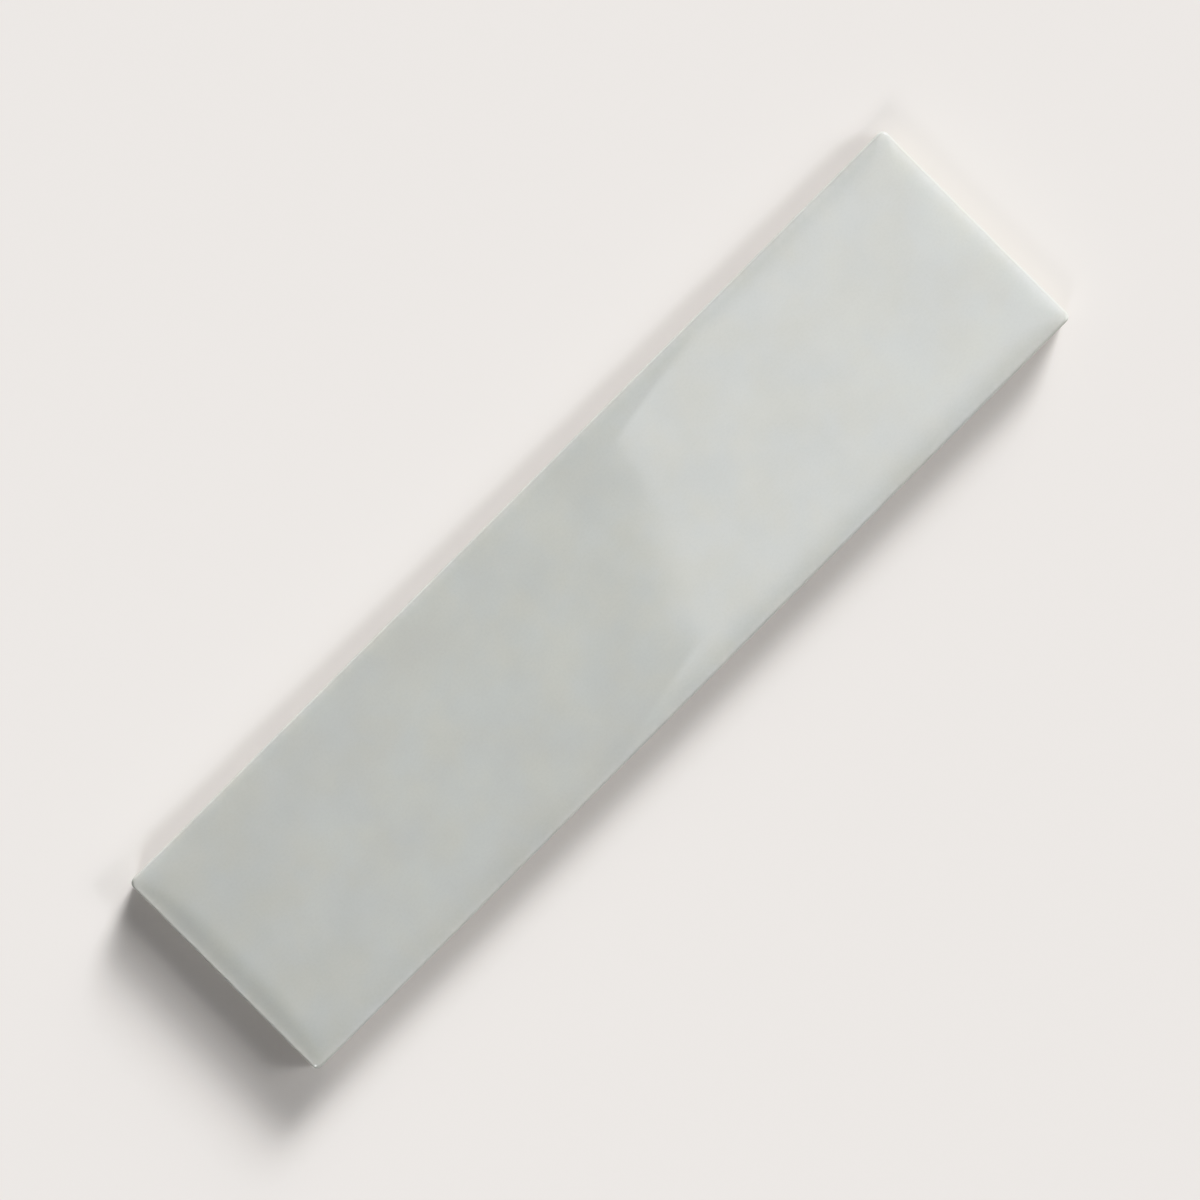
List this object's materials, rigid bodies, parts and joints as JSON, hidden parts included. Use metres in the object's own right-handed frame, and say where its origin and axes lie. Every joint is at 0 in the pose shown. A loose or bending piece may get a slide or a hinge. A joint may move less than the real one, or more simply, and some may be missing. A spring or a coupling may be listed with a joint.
{
  "type": "ceramic wall tile",
  "caption": "Long rectangular glazed ceramic wall tile: glossy face with softly cushioned edges, upright bare sides and a keyed back for adhesive.",
  "frame": {"origin": "middle of the keyed back, in the plane that the tile lies on", "axes": "+X along the tile's length, +Y across its width, +Z out of the glazed face"},
  "size_m": [0.2, 0.05, 0.008],
  "materials": {
    "glazed_ceramic": "gloss"
  },
  "bodies": {
    "root": {"tile": "glazed_ceramic"}
  },
  "joints": []
}
